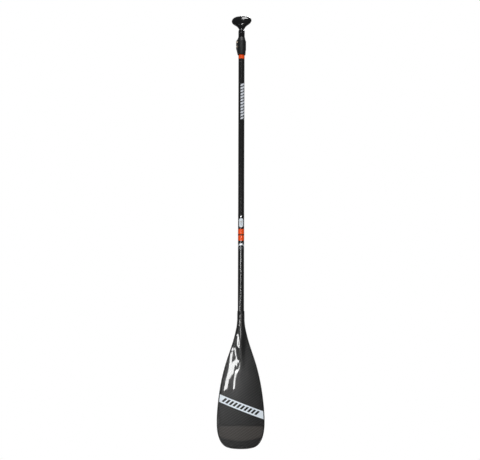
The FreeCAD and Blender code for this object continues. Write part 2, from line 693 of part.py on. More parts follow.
def outline_prism(inset, neck_half):
    """A block of the blade's outline, from front to back, wider than the neck at its top."""
    top = -size("lower_reach")
    right = outline_points(1, inset)
    left = outline_points(-1, inset)[::-1][1:]
    curve = Part.BSplineCurve()
    curve.interpolate(right + left)
    shoulder = right[0].z
    above = top + 5
    neck = [(-neck_half, shoulder), (-neck_half, above), (neck_half, above), (neck_half, shoulder)]
    corners = [left[-1], *(V(x, 0, z) for x, z in neck), right[0]]
    edges = [Part.makeLine(a, b) for a, b in zip(corners, corners[1:]) if a.distanceToPoint(b) > 0.001]
    edges.append(curve.toShape())
    face = Part.Face(Part.Wire(Part.__sortEdges__(edges)))
    reach = size("blade_length")
    face.translate(V(0, reach / 2, 0))
    return face.extrude(V(0, -reach, 0))


def section_half(drop):
    """Half the width of the lofted section: the neck's at the top, then a little over the outline's."""
    length = size("blade_length")
    table = [(0.0, size(NECK)), (0.045, size(NECK))]
    table += flare_widths()
    table.append((1.2, size("blade_width") / 2))
    share = drop / length
    for (a0, w0), (a1, w1) in zip(table, table[1:]):
        if share <= a1:
            width = w0 + (w1 - w0) * (share - a0) / (a1 - a0)
            break
    return width + 8 * eased(drop, 60, 140)


def section_wire(drop, inset):
    """A closed section of the blade: a circle at the neck, a cambered plate with a spine lower down."""
    half = section_half(drop) - inset
    flat = eased(drop, size("neck_insert"), 170)
    power = 2 + 6 * flat
    spine_end = size("spine_length")
    spine = size(NECK) * (1 - eased(drop, 15, spine_end)) * (1 - eased(drop, 0, spine_end * 1.1))
    middle = size("blade_middle")
    camber = size("camber") * eased(drop, 60, 260)
    steps = 24
    front = []
    back = []
    for i in range(steps + 1):
        across = -math.cos(math.pi * i / steps)
        x = across * half
        close = max(1 - abs(across) ** power, 0.0) ** (1 / power)
        plate = size("blade_edge") + (middle - size("blade_edge")) * (1 - across * across)
        ridge = spine * math.exp(-((x / (size(NECK) * 0.9)) ** 2))
        round_neck = size(NECK) - inset
        blend = eased(drop, size("neck_insert") - 4, 150)
        thick = (round_neck * (1 - blend) + max(plate + ridge - inset, 0.3) * blend) * close
        thick_back = (round_neck * (1 - blend) + max(plate + ridge * 0.25 - inset, 0.3) * blend) * close
        line = blade_line(drop) + camber * across * across
        z = -size("lower_reach") - drop
        front.append(V(x, line - thick, z))
        back.append(V(x, line + thick_back, z))
    front[0] = back[0] = (front[0] + back[0]) * 0.5
    front[-1] = back[-1] = (front[-1] + back[-1]) * 0.5
    edges = []
    for points in (front, back[::-1]):
        curve = Part.BSplineCurve()
        curve.interpolate(points)
        edges.append(curve.toShape())
    return Part.Wire(edges)


def stations(start):
    """Distances below the top of the neck of the blade's sections, closest near the neck, to past its tip."""
    end = size("blade_length") + 12
    count = 30
    return [start + (end - start) * (i / count) ** 1.2 for i in range(count + 1)]


def lofted(start, inset):
    return Part.makeLoft([section_wire(drop, inset) for drop in stations(start)], True, False)


def mid_solid(forward):
    """Everything in front of the blade's cambered middle surface, or behind it."""
    wires = []
    for drop in stations(0.0):
        half = size("blade_width")
        line = blade_line(drop)
        camber = size("camber") * eased(drop, 60, 260)
        wide = section_half(max(drop, 0.0))
        z = -size("lower_reach") - drop
        shares = [-1 + i / 6 for i in range(13)]
        points = [V(share * half, line + camber * (share * half / wide) ** 2, z) for share in shares]
        curve = Part.BSplineCurve()
        curve.interpolate(points)
        wires.append(Part.Wire([curve.toShape()]))
    surface = Part.makeLoft(wires, False, False).Faces[0]
    away = size("blade_width") * 2
    surface.translate(V(0, -forward * size("bond_gap") / 2, 0))
    return surface.extrude(V(0, -forward * away, 0))


def make_blade():
    """Two skins around a foam core, with a rail around the edge and the lower tube in the neck."""
    skin = size("skin_thickness")
    gap = size("bond_gap")
    neck = size(NECK)
    top = -size("lower_reach")
    turned_length = size("collar_below") + 1
    around_neck = Part.makeCylinder(neck * 2, turned_length + 5, V(0, 0, top - turned_length))
    seat = neck - size("neck_seat")
    neck_bar = Part.makeCylinder(seat, turned_length + 5, V(0, 0, top - turned_length))
    whole = lofted(0.0, 0.0).cut(around_neck.cut(neck_bar))
    shaped = whole.common(outline_prism(0.0, neck + 5))
    rail_width = size("rail_width")
    inside = shaped.common(outline_prism(rail_width, neck + 5))

    tube_foot = size("neck_insert")
    socket_radius = size("shaft_radius + neck_growth + bond_gap")
    socket = Part.makeCylinder(socket_radius, tube_foot + 5.5, V(0, 0, top - tube_foot - 0.5))
    rail = shaped.cut(outline_prism(rail_width - gap, neck + 5))
    feature("edge_rail", rail.cut(socket))
    core_loft = lofted(tube_foot + 1, skin)
    core_loose = lofted(tube_foot + 1 - gap, skin - gap)
    core_inset = rail_width + 3
    feature("blade_core", core_loft.common(outline_prism(core_inset, neck + 5)))
    hollow = core_loose.common(outline_prism(core_inset - gap, neck + 5))
    shell = inside.cut(socket).cut(hollow)
    feature("blade_front_skin", shell.common(mid_solid(1)))
    feature("blade_rear_skin", shell.common(mid_solid(-1)))


NODES = [
    "upper_shaft", "band_upper", "band_top", "joint_label", "clamp_collar", "clamp_screws", "clamp_nuts",
    "clamp_lever", "lever_pin", "clamp_shoe", "grip_body", "grip_cap", "extension_tube", "extension_plug",
    "guide_ring", "lower_shaft", "band_lower", "foot_band", "float_plug", "neck_collar", "ferrule",
    "ferrule_plug", "joint_ring", "snap_button", "button_spring", "edge_rail",
    "blade_front_skin", "blade_rear_skin", "blade_core",
]


def write_parts():
    doc.recompute()
    failed = [thing.Label for thing in doc.Objects if {"Invalid", "Error"} & set(thing.State)]
    if failed:
        raise RuntimeError(f"these objects failed: {failed}")
    os.makedirs("parts", exist_ok=True)
    for node in NODES:
        found = doc.getObjectsByLabel(node)
        if len(found) != 1:
            raise RuntimeError(f"{node} isn't one object")
        shape = found[0].Shape
        if shape.isNull() or not shape.isValid() or not shape.Solids:
            raise RuntimeError(f"{node} has no valid solid")
        shape.exportStep(f"parts/{node}.step")
        print(f"{node}: {len(shape.Solids)} solids, {shape.Volume / 1000:.2f} cm3")


make_upper_section()
make_joint()
make_lower_section()
make_extension()
make_clamp()
make_screws()
make_lever()
make_grip()
make_blade()
write_parts()
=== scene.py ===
"""The looks of an adjustable, take-apart stand-up paddle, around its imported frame, in metres.

The shaft's axis is Z, up towards the grip, and the blade's back faces -Y.
"""

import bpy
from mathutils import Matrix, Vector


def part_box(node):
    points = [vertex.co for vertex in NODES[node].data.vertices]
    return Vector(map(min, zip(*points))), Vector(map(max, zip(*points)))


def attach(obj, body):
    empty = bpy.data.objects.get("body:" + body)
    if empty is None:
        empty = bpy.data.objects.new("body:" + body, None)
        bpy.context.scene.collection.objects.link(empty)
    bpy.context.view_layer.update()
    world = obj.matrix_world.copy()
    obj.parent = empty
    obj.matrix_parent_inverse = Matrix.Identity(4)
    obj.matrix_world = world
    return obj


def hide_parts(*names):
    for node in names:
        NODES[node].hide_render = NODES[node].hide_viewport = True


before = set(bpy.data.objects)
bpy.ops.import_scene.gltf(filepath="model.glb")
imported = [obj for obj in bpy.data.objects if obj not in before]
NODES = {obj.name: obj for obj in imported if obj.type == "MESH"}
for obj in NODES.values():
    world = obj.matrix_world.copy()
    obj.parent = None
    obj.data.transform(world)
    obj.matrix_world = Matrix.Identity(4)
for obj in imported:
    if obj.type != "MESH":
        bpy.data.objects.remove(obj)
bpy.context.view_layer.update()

import math

import bpy
import numpy as np
from mathutils import Vector

MM = 0.001


# ---------------------------------------------------------------------------------------------
# Shader building
# ---------------------------------------------------------------------------------------------
class Shader:
    """A material whose nodes are added by short calls. Sources are sockets or plain numbers."""

    def __init__(self, name, roughness=0.5, **fixed):
        self.material = bpy.data.materials.new(name)
        self.material.use_nodes = True
        self.tree = self.material.node_tree
        self.surface = self.tree.nodes["Principled BSDF"]
        self.surface.inputs["Roughness"].default_value = roughness
        for socket, value in fixed.items():
            self.surface.inputs[socket.replace("_", " ")].default_value = value
        self.place = self.tree.nodes.new("ShaderNodeTexCoord").outputs["Object"]
        parts = self.tree.nodes.new("ShaderNodeSeparateXYZ")
        self.tree.links.new(self.place, parts.inputs[0])
        self.x, self.y, self.z = parts.outputs

    def feed(self, socket, source):
        if isinstance(source, bpy.types.NodeSocket):
            self.tree.links.new(source, socket)
        else:
            socket.default_value = source

    def set(self, **sources):
        for socket, source in sources.items():
            self.feed(self.surface.inputs[socket.replace("_", " ")], source)

    def math(self, operation, *values):
        node = self.tree.nodes.new("ShaderNodeMath")
        node.operation = operation
        for socket, value in zip(node.inputs, values):
            self.feed(socket, value)
        return node.outputs[0]

    def sum(self, first, *others):
        for other in others:
            first = self.math("ADD", first, other)
        return first

    def product(self, first, *others):
        for other in others:
            first = self.math("MULTIPLY", first, other)
        return first

    def scaled(self, x=1.0, y=1.0, z=1.0, source=None):
        """The place, stretched along each axis."""
        node = self.tree.nodes.new("ShaderNodeMapping")
        self.feed(node.inputs["Vector"], source or self.place)
        node.inputs["Scale"].default_value = (x, y, z)
        return node.outputs[0]

    def noise(self, scale, detail=2.0, source=None, roughness=0.5):
        node = self.tree.nodes.new("ShaderNodeTexNoise")
        self.feed(node.inputs["Vector"], source or self.place)
        node.inputs["Scale"].default_value = scale
        node.inputs["Detail"].default_value = detail
        node.inputs["Roughness"].default_value = roughness
        return node.outputs["Fac"]

    def cells(self, scale, source=None):
        node = self.tree.nodes.new("ShaderNodeTexVoronoi")
        self.feed(node.inputs["Vector"], source or self.place)
        node.inputs["Scale"].default_value = scale
        return node.outputs["Distance"]

    def fade(self, value, start, end, low=0.0, high=1.0):
        """Low below start, high above end, and smooth between them."""
        node = self.tree.nodes.new("ShaderNodeMapRange")
        node.interpolation_type = "SMOOTHSTEP"
        for socket, source in zip(node.inputs, (value, start, end, low, high)):
            self.feed(socket, source)
        return node.outputs[0]

    def within(self, value, low, high, soft):
        """1 between low and high, with edges as wide as soft."""
        rise = self.fade(value, low - soft, low + soft)
        fall = self.fade(value, high - soft, high + soft, 1.0, 0.0)
        return self.product(rise, fall)

    def mix(self, share, first, second):
        node = self.tree.nodes.new("ShaderNodeMix")
        node.data_type = "RGBA"
        self.feed(node.inputs[0], share)
        for socket, colour in ((node.inputs[6], first), (node.inputs[7], second)):
            plain = not isinstance(colour, bpy.types.NodeSocket)
            self.feed(socket, (*colour, 1.0) if plain else colour)
        return node.outputs[2]

    def bump(self, height, distance, strength=1.0, below=None):
        node = self.tree.nodes.new("ShaderNodeBump")
        node.inputs["Strength"].default_value = strength
        node.inputs["Distance"].default_value = distance
        self.feed(node.inputs["Height"], height)
        if below:
            self.feed(node.inputs["Normal"], below)
        return node.outputs[0]

    def angle(self):
        """Angle round the shaft's axis from the front, in radians, positive towards +X."""
        return self.math("ARCTAN2", self.x, self.math("MULTIPLY", self.y, -1.0))

    def fraction(self, value, pitch):
        """How far the value is through the pitch that it is in, from 0 to 1."""
        return self.math("FRACT", self.math("DIVIDE", value, pitch))


# ---------------------------------------------------------------------------------------------
# Materials
# ---------------------------------------------------------------------------------------------
SHAFT_RADIUS = 13 * MM
STRIPE_SLOPE = math.radians(-20.4)
STRIPE_MIDDLE = -712 * MM
STRIPE_HALF = 14.6 * MM
BAR_PITCH = 16 * MM
BAR_LEAN = 0.55
BAR_HALF = 9 * MM
BARS_HALF_LENGTH = 80 * MM
PRINT_SOFTNESS = 0.15 * MM


def grip_plastic():
    s = Shader("grip plastic", roughness=0.16, Coat_Weight=0.6, Coat_Roughness=0.05, IOR=1.5)
    patches = s.noise(28.0, 4.0)
    s.set(Base_Color=s.mix(patches, (0.0045, 0.0048, 0.0055), (0.010, 0.0103, 0.011)))
    s.set(Roughness=s.fade(s.noise(160.0, 5.0), 0.3, 0.8, 0.12, 0.26))
    flow = s.bump(s.noise(45.0, 1.0), 0.0002, 0.1)
    s.set(Normal=s.bump(s.noise(900.0, 2.0), 0.00002, 0.2, flow))
    return s.material


def black_nylon(name="clamp nylon", shade=1.0):
    """Moulded nylon with a fine spark-eroded grain, a little paler where it is rubbed."""
    s = Shader(name, roughness=0.5, IOR=1.46)
    worn = s.fade(s.noise(70.0, 6.0, roughness=0.65), 0.5, 0.75)
    dark = tuple(shade * c for c in (0.0085, 0.009, 0.0095))
    pale = tuple(shade * c for c in (0.019, 0.0195, 0.020))
    s.set(Base_Color=s.mix(worn, dark, pale))
    s.set(Roughness=s.fade(s.noise(240.0, 3.0), 0.3, 0.7, 0.40, 0.58))
    coarse = s.bump(s.cells(1900.0), 0.00006, 0.5)
    s.set(Normal=s.bump(s.noise(5200.0, 2.0), 0.00004, 0.6, coarse))
    return s.material


def wound_carbon(name, graphic=False, scale_marks=False):
    """Filament-wound carbon under lacquer: faint crossing tows and fine fibres."""
    s = Shader(name, roughness=0.40, Coat_Weight=1.0, Coat_Roughness=0.09, IOR=1.4)
    around = s.product(s.angle(), SHAFT_RADIUS)
    tow = 4.2 * MM
    rising = s.fraction(s.sum(s.z, around), tow)
    falling = s.fraction(s.math("SUBTRACT", s.z, around), tow)
    crossing = s.sum(s.math("PINGPONG", rising, 0.5), s.math("PINGPONG", falling, 0.5))
    fibres = s.noise(900.0, 2.0, s.scaled(1.0, 1.0, 0.05))
    body = s.mix(s.fade(crossing, 0.2, 0.9), (0.0045, 0.0047, 0.0050), (0.0095, 0.0096, 0.0095))
    colour = s.mix(s.fade(fibres, 0.45, 0.75), body, (0.014, 0.014, 0.0135))
    weave = s.bump(crossing, 0.00004, 0.25)
    s.set(Normal=s.bump(fibres, 0.00002, 0.3, weave))
    if graphic:
        printed = shaft_graphic(s)
        s.set(Base_Color=s.mix(printed, colour, (0.66, 0.70, 0.76)))
        s.set(Roughness=s.fade(printed, 0.0, 1.0, 0.34, 0.42))
    elif scale_marks:
        s.set(Base_Color=s.mix(height_marks(s), colour, (0.60, 0.62, 0.64)))
    else:
        s.set(Base_Color=colour)
    return s.material


def shaft_graphic(s):
    """A plain printed pattern of slanted bars along the upper tube, two long ones to each short one."""
    low, high = 484 * MM, 636 * MM
    pitch = 12.7 * MM
    lean_per_radian = 5.8 * MM
    left_start, left_end = math.radians(-16), math.radians(-14)
    short_reach, long_reach = math.radians(46), math.radians(74)
    slanted = s.math("SUBTRACT", s.z, s.product(s.angle(), lean_per_radian))
    bars = s.within(s.fraction(slanted, pitch), 0.14, 0.80, 0.02)
    long_bars = s.within(s.fraction(slanted, pitch * 3), 0.0, 0.667, 0.004)
    right = s.fade(long_bars, 0.0, 1.0, short_reach, long_reach)
    across = s.product(
        s.fade(s.angle(), left_start, left_end),
        s.math("LESS_THAN", s.angle(), right),
    )
    return s.product(bars, across, s.within(s.z, low, high, 2 * PRINT_SOFTNESS))


def height_marks(s):
    """Plain ticks every 10 mm along the extension, longer every 50 mm."""
    tick = s.within(s.fraction(s.z, 10 * MM), 0.44, 0.54, 0.01)
    major = s.within(s.fraction(s.z, 50 * MM), 0.0, 0.2, 0.002)
    reach = s.fade(major, 0.0, 1.0, math.radians(14), math.radians(30))
    return s.product(tick, s.math("LESS_THAN", s.math("ABSOLUTE", s.angle()), reach))


def orange_film():
    """Glossy orange film with soft clouds and a fine fleck."""
    s = Shader("orange film", roughness=0.36, Coat_Weight=0.4, Coat_Roughness=0.12)
    cloud = s.noise(55.0, 3.0)
    fleck = s.fade(s.noise(2600.0, 2.0), 0.60, 0.72)
    base = s.mix(cloud, (0.84, 0.068, 0.0015), (0.95, 0.100, 0.004))
    s.set(Base_Color=s.mix(s.product(fleck, 0.30), base, (1.0, 0.18, 0.02)))
    s.set(Normal=s.bump(s.noise(420.0, 3.0), 0.00005, 0.5))
    return s.material


def label_film():
    """Pale film with a plain dot in a ring over a short bar."""
    s = Shader("label film", roughness=0.30, Coat_Weight=0.5, Coat_Roughness=0.1)
    low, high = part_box("joint_label")
    middle = (low.z + high.z) / 2
    dot_middle = middle + 3.5 * MM
    dot_start, dot_end = 2.6 * MM, 3.0 * MM
    ring_inside, ring_outside = 3.6 * MM, 4.1 * MM
    bar_half = 1.6 * MM
    bar_low, bar_high = middle - 11 * MM, middle - 1.5 * MM
    height = s.math("SUBTRACT", s.z, dot_middle)
    reach = s.math("SQRT", s.sum(s.product(s.x, s.x), s.product(height, height)))
    disc = s.fade(reach, dot_start, dot_end, 1.0, 0.0)
    ring = s.within(reach, ring_inside, ring_outside, PRINT_SOFTNESS)
    bar = s.product(
        s.within(s.x, -bar_half, bar_half, PRINT_SOFTNESS),
        s.within(s.z, bar_low, bar_high, PRINT_SOFTNESS),
    )
    film = s.mix(s.noise(90.0, 3.0), (0.66, 0.72, 0.78), (0.74, 0.80, 0.85))
    barred = s.mix(s.product(s.math("MAXIMUM", bar, ring), 0.6), film, (0.30, 0.34, 0.38))
    s.set(Base_Color=s.mix(s.product(disc, 0.85), barred, (0.27, 0.20, 0.13)))
    s.set(Normal=s.bump(s.noise(700.0, 2.0), 0.00003, 0.4))
    return s.material


def silver_film():
    """Silver film with an arched white top, a few dots and fine rules."""
    s = Shader("silver film", roughness=0.30, Metallic=0.35, Coat_Weight=0.5, Coat_Roughness=0.1)
    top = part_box("foot_band")[1].z
    arch_depth = 6.5 * MM
    white_start, white_end, white_softness = 1.2 * MM, 8.5 * MM, 0.4 * MM
    rule_pitch = 5 * MM
    arch = s.product(s.product(s.angle(), s.angle()), arch_depth)
    fall = s.sum(s.math("SUBTRACT", top, s.z), s.product(arch, -1.0))
    white = s.within(fall, white_start, white_end, white_softness)
    dots = s.cells(118.0, s.scaled(1.0, 1.0, 0.9))
    spots = s.product(s.fade(dots, 0.30, 0.40, 1.0, 0.0), s.fade(fall, 9 * MM, 10 * MM))
    rules = s.product(
        s.within(s.fraction(fall, rule_pitch), 0.30, 0.62, 0.05),
        s.fade(fall, 13 * MM, 14 * MM),
    )
    ground = s.mix(s.noise(120.0, 4.0), (0.035, 0.038, 0.042), (0.10, 0.105, 0.11))
    ruled = s.mix(s.product(rules, 0.8), ground, (0.42, 0.44, 0.46))
    spotted = s.mix(s.product(spots, 0.9), ruled, (0.006, 0.006, 0.007))
    s.set(Base_Color=s.mix(white, spotted, (0.80, 0.84, 0.88)))
    s.set(Normal=s.bump(s.noise(600.0, 3.0), 0.00004, 0.5))
    return s.material


def steel(name="satin steel", tint=(0.58, 0.56, 0.52)):
    s = Shader(name, roughness=0.3, Metallic=1.0)
    brushed = s.noise(700.0, 3.0, s.scaled(0.2, 1.0, 1.0))
    pale = tuple(min(c * 1.25, 1.0) for c in tint)
    s.set(Base_Color=s.mix(brushed, tint, pale))
    s.set(Roughness=s.fade(brushed, 0.3, 0.75, 0.20, 0.42))
    s.set(Normal=s.bump(brushed, 0.00004, 0.5))
    return s.material


def pressed_foam():
    s = Shader("closed-cell foam", roughness=0.85)
    cells = s.cells(1300.0)
    s.set(Base_Color=s.mix(cells, (0.62, 0.60, 0.55), (0.80, 0.78, 0.73)))
    s.set(Normal=s.bump(cells, 0.0002, 0.8))
    return s.material


def ground_glass_tube():
    """The ferrule: a ground composite tube with fine turning marks."""
    s = Shader("ground composite", roughness=0.42, Coat_Weight=0.15, Coat_Roughness=0.3)
    turning = s.noise(1500.0, 2.0, s.scaled(0.02, 0.02, 1.0))
    s.set(Base_Color=s.mix(turning, (0.035, 0.037, 0.036), (0.075, 0.077, 0.073)))
    s.set(Roughness=s.fade(turning, 0.3, 0.7, 0.35, 0.55))
    s.set(Normal=s.bump(turning, 0.00004, 0.5))
    return s.material


def white_acetal():
    s = Shader("white acetal", roughness=0.38)
    s.set(Base_Color=s.mix(s.noise(80.0, 3.0), (0.78, 0.77, 0.73), (0.86, 0.85, 0.82)))
    s.set(Normal=s.bump(s.noise(900.0, 2.0), 0.00004, 0.5))
    return s.material


def rail_plastic():
    s = Shader("rail plastic", roughness=0.33, Coat_Weight=0.2, Coat_Roughness=0.2)
    s.set(Base_Color=s.mix(s.noise(60.0, 4.0), (0.006, 0.0062, 0.0066), (0.012, 0.0122, 0.0125)))
    s.set(Roughness=s.fade(s.noise(320.0, 4.0), 0.3, 0.75, 0.26, 0.46))
    s.set(Normal=s.bump(s.noise(1500.0, 2.0), 0.00004, 0.5))
    return s.material


def twill(s):
    """A 2/1 twill: its height, and 1 where the upright tows are on top. Its diagonals rise to +X."""
    warp_pitch, weft_pitch = 5.7 * MM, 3.6 * MM
    sway = 3 * MM
    wave = s.math("SUBTRACT", s.noise(9.0, 1.0), 0.5)
    x = s.sum(s.x, s.product(wave, sway))
    z = s.sum(s.z, s.product(wave, sway))
    column = s.math("DIVIDE", x, warp_pitch)
    row = s.math("DIVIDE", z, weft_pitch)
    step = s.math("SUBTRACT", s.math("FLOOR", column), s.math("FLOOR", row))
    upright = s.math("LESS_THAN", s.math("FLOORED_MODULO", step, 3.0), 1.5)

    def crown(count):
        """A tow's rounded top, from 0 at its edges to 1 at its middle."""
        off = s.math("SUBTRACT", s.math("FRACT", count), 0.5)
        return s.math("SUBTRACT", 1.0, s.product(off, off, 4.0))

    height = s.sum(
        s.product(upright, crown(column)),
        s.product(s.math("SUBTRACT", 1.0, upright), crown(row)),
    )
    return height, upright


def blade_carbon(name, stripe):
    """Carbon twill under a deep clear coat, with the printed stripe where it is asked for. Its level
    tows carry a painted sheen and the grooves between tows carry painted shade.
    """
    s = Shader(name, roughness=0.38, IOR=1.5, Coat_Weight=1.0, Coat_Roughness=0.025, Coat_IOR=1.5)
    height, upright = twill(s)
    fibres = s.noise(1500.0, 2.0, s.scaled(1.0, 1.0, 0.06))
    upright_tow = s.mix(fibres, (0.0022, 0.0023, 0.0026), (0.0042, 0.0043, 0.0045))
    # Painted sheen: the level tows are coloured lighter than the upright ones, standing in for the light
    # they catch.
    level_tow_painted_sheen = s.mix(fibres, (0.0110, 0.0113, 0.0115), (0.0250, 0.0253, 0.0250))
    woven_with_painted_sheen = s.mix(upright, level_tow_painted_sheen, upright_tow)
    # Painted shade: the grooves between the tows' crowns are darkened, standing in for shade.
    painted_gap_shade = s.fade(height, 0.0, 0.55)
    cloth_with_painted_light = s.mix(painted_gap_shade, (0.003, 0.003, 0.0033), woven_with_painted_sheen)
    weave = s.bump(height, 0.00022, 0.55)
    s.set(Normal=s.bump(fibres, 0.00003, 0.4, weave))
    if stripe:
        white, bars = stripe_masks(s)
        print_white = s.mix(s.noise(40.0, 3.0), (0.72, 0.79, 0.86), (0.80, 0.86, 0.91))
        marked = s.mix(bars, print_white, (0.008, 0.008, 0.009))
        s.set(Base_Color=s.mix(white, cloth_with_painted_light, marked))
    else:
        s.set(Base_Color=cloth_with_painted_light)
    return s.material


def stripe_masks(s):
    """The slanted stripe, and the plain bars in it."""
    run = math.cos(STRIPE_SLOPE)
    rise = math.sin(STRIPE_SLOPE)
    down = s.math("SUBTRACT", s.z, STRIPE_MIDDLE)
    along = s.sum(s.product(s.x, run), s.product(down, rise))
    across = s.math("SUBTRACT", s.product(down, run), s.product(s.x, rise))
    white = s.within(across, -STRIPE_HALF, STRIPE_HALF, PRINT_SOFTNESS)
    slanted = s.math("SUBTRACT", along, s.product(across, BAR_LEAN))
    bars = s.within(s.fraction(slanted, BAR_PITCH), 0.20, 0.80, 0.008)
    inside = s.product(
        s.within(across, -BAR_HALF, BAR_HALF, PRINT_SOFTNESS),
        s.within(slanted, -BARS_HALF_LENGTH, BARS_HALF_LENGTH, PRINT_SOFTNESS),
    )
    return white, s.product(inside, bars)


# ---------------------------------------------------------------------------------------------
# Mesh building
# ---------------------------------------------------------------------------------------------
def make_piece(name, points, faces, material, body, slot, *replaced):
    """A smooth mesh piece that rides on a body and stands for CAD nodes."""
    mesh = bpy.data.meshes.new(name)
    mesh.from_pydata([tuple(p) for p in points], [], faces)
    mesh.validate()
    mesh.shade_smooth()
    mesh.materials.append(material)
    piece = bpy.data.objects.new(name, mesh)
    bpy.context.scene.collection.objects.link(piece)
    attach(piece, body)
    if replaced:
        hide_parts(*replaced)
    return piece


def grid_faces(rows, columns, wrap=False):
    """Faces of a grid of points, row after row. A wrapped grid joins its last column to its first."""
    faces = []
    for row in range(rows - 1):
        for column in range(columns if wrap else columns - 1):
            beside = (column + 1) % columns
            faces.append((
                row * columns + column,
                row * columns + beside,
                (row + 1) * columns + beside,
                (row + 1) * columns + column,
            ))
    return faces


def smooth_line(points, count):
    """Points on the natural cubic spline through the given points, at even steps along its chords."""
    knots = np.array(points, float)
    steps = np.linalg.norm(np.diff(knots, axis=0), axis=1)
    at = np.concatenate([[0.0], np.cumsum(steps)])
    size = len(knots)
    system = np.eye(size)
    wanted = np.zeros_like(knots)
    for i in range(1, size - 1):
        before, after = steps[i - 1], steps[i]
        system[i, i - 1:i + 2] = before, 2 * (before + after), after
        wanted[i] = 6 * ((knots[i + 1] - knots[i]) / after - (knots[i] - knots[i - 1]) / before)
    bend = np.linalg.solve(system, wanted)
    where = np.linspace(0.0, at[-1], count)
    span = np.clip(np.searchsorted(at, where, side="right") - 1, 0, size - 2)
    length = steps[span][:, None]
    left = (at[span + 1] - where)[:, None]
    right = (where - at[span])[:, None]
    line = bend[span] * left ** 3 / (6 * length) + bend[span + 1] * right ** 3 / (6 * length)
    line += (knots[span] / length - bend[span] * length / 6) * left
    line += (knots[span + 1] / length - bend[span + 1] * length / 6) * right
    return line


def eased(value, low, high):
    """0 below low, 1 above high and smooth between them."""
    share = min(max((value - low) / (high - low), 0.0), 1.0)
    return share * share * (3 - 2 * share)


# ---------------------------------------------------------------------------------------------
# Blade
# ---------------------------------------------------------------------------------------------
RAIL_LOW, RAIL_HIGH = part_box("edge_rail")
NECK_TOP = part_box("blade_front_skin")[1].z
BLADE_LENGTH = NECK_TOP - RAIL_LOW.z
BLADE_HALF = (RAIL_HIGH.x - RAIL_LOW.x) / 2
NECK = 14.6 * MM
NECK_LENGTH = 44 * MM
CANT = math.tan(math.radians(10.0))
CANT_START = 45 * MM
CANT_BEND = 60 * MM
CAMBER = 6 * MM
MIDDLE = 3.4 * MM
EDGE = 1.5 * MM
SPINE_START = 15 * MM
SPINE_END = 300 * MM
SPINE_FADE_END = 330 * MM
REAR_SPINE_SHARE = 0.25
RAIL_WIDTH = 4.5 * MM
OVERHANG = 8 * MM
SKIN = 1.0 * MM
# How far below the neck's top each change of the section starts and ends.
SQUARED = (48 * MM, 170 * MM)
PLATED = (NECK_LENGTH, 150 * MM)
CAMBERED = (60 * MM, 260 * MM)
OVERHUNG = (60 * MM, 140 * MM)
RAILED = (NECK_LENGTH, 80 * MM)
SPREAD = (40 * MM, 200 * MM)
# As in the design: share of the length, then share of the way from the neck's radius to half the width,
# down to the widest place, and share of half the width from there to the tip.
FLARE = [(0.083, 0.022), (0.199, 0.198), (0.349, 0.519), (0.497, 0.777), (0.643, 0.930), (0.797, 1.000)]
TIP = [(0.898, 0.947), (0.958, 0.795), (0.981, 0.655), (0.995, 0.420), (1.000, 0.000)]


def flare_widths():
    return [(along * BLADE_LENGTH, NECK + (BLADE_HALF - NECK) * share) for along, share in FLARE]


def blade_outline(count):
    """Points (half width, distance below the neck's top) of the outline's right side, to the tip."""
    side = [(width, drop) for drop, width in flare_widths()]
    side += [(BLADE_HALF * share, along * BLADE_LENGTH) for along, share in TIP]
    mirrored = [(-width, drop) for width, drop in side[-2::-1]]
    both = smooth_line(side + mirrored, 2 * count - 1)
    return both[:count]


def section_half(drop):
    """Half the width of the blade's section, which is wider than the outline past the neck."""
    table = [(0.0, NECK), (0.045 * BLADE_LENGTH, NECK), *flare_widths(), (2 * BLADE_LENGTH, BLADE_HALF)]
    drops, widths = zip(*table)
    return float(np.interp(drop, drops, widths)) + OVERHANG * eased(drop, *OVERHUNG)


def blade_line(drop):
    """Where the blade's middle is in Y."""
    past = drop - CANT_START
    if past <= 0:
        return 0.0
    if past < CANT_BEND:
        return -CANT * past * past / (2 * CANT_BEND)
    return -CANT * (past - CANT_BEND / 2)


def blade_surface(x, drop, side):
    """Y of the blade's front (side -1) or back (side 1) at a place."""
    half = section_half(drop)
    across = min(max(x / half, -1.0), 1.0)
    power = 2 + 6 * eased(drop, *SQUARED)
    spine = NECK * (1 - eased(drop, SPINE_START, SPINE_END)) * (1 - eased(drop, 0, SPINE_FADE_END))
    close = max(1 - abs(across) ** power, 0.0) ** (1 / power)
    plate = EDGE + (MIDDLE - EDGE) * (1 - across * across)
    ridge = spine * math.exp(-((x / (NECK * 0.9)) ** 2))
    blend = eased(drop, *PLATED)
    share = 1.0 if side < 0 else REAR_SPINE_SHARE
    thick = (NECK * (1 - blend) + (plate + ridge * share) * blend) * close
    camber = CAMBER * eased(drop, *CAMBERED)
    return blade_line(drop) + camber * across * across + side * thick


def rail_inset(drop):
    """How far the skins stop short of the outline: nothing at the neck, then the rail's width."""
    return RAIL_WIDTH * eased(drop, *RAILED)


def outward(tangent):
    """The unit direction at right angles to the outline's tangent, out of the blade."""
    return np.array([tangent[1], -tangent[0]]) / np.linalg.norm(tangent)


